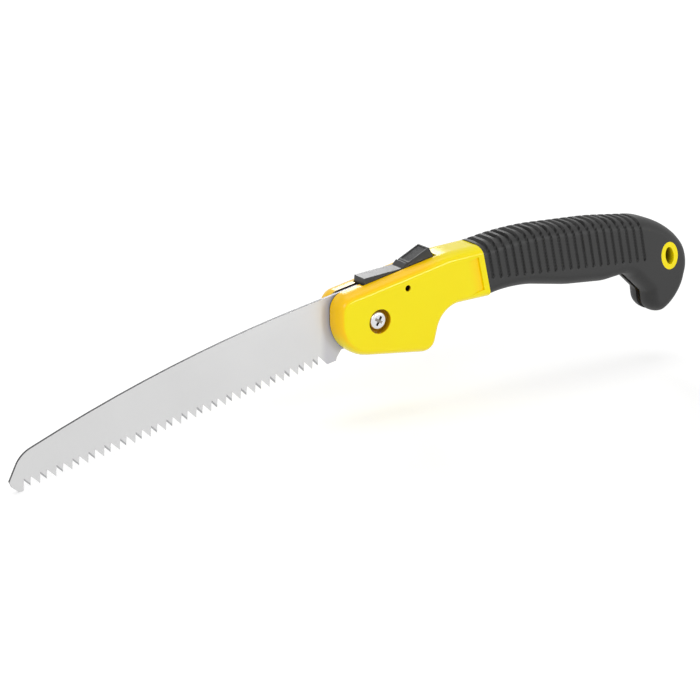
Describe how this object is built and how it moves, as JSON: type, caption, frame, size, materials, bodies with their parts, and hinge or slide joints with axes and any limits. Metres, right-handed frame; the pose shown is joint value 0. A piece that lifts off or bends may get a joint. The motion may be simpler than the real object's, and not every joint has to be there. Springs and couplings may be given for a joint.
{
  "type": "folding pruning saw",
  "caption": "Folding pruning saw: a curved toothed blade that swings into a rubber-covered handle with a hooked end, held open or shut by a sprung rocker lever on top of the head.",
  "frame": {"origin": "centre of the oval hanging hole near the rear end of the handle, in the mid-plane", "axes": "+X to the rear, away from the blade; +Y from the cheek with the screw head to the cheek with the nut; +Z to the spine side, the top"},
  "size_m": [0.3915, 0.022, 0.0865],
  "materials": {
    "yellow_plastic": "moulded, semi-gloss",
    "grip_rubber": "matt moulded",
    "blade_steel": "satin ground",
    "plated_steel": "bright zinc",
    "washer_nylon": "matt",
    "ring_nylon": "matt",
    "lever_plastic": "moulded, semi-gloss",
    "spring_steel": "oil-black"
  },
  "bodies": {
    "handle": {"handle_core": "yellow_plastic", "rubber_grip": "grip_rubber", "pivot_screw": "plated_steel", "pivot_sleeve": "plated_steel", "thrust_washer_near": "washer_nylon", "thrust_washer_far": "washer_nylon", "pivot_nut": "plated_steel", "nut_lock_ring": "ring_nylon", "lever_pin": "spring_steel", "lever_spring": "spring_steel"},
    "blade": {"saw_blade": "blade_steel"},
    "lever": {"lock_lever": "lever_plastic"}
  },
  "joints": [
    {"name": "blade_fold", "type": "hinge", "parent": "handle", "child": "blade", "pos_m": [-0.1857, 0, -0.0072], "axis": [0, -1, 0], "range_deg": [0, 166]},
    {"name": "lever_rock", "type": "hinge", "parent": "handle", "child": "lever", "pos_m": [-0.1696, 0, 0.0072], "axis": [0, -1, 0], "range_deg": [0, 7.5], "stiffness_Nm_per_rad": 0.05, "deforming": ["lever_spring"]}
  ]
}
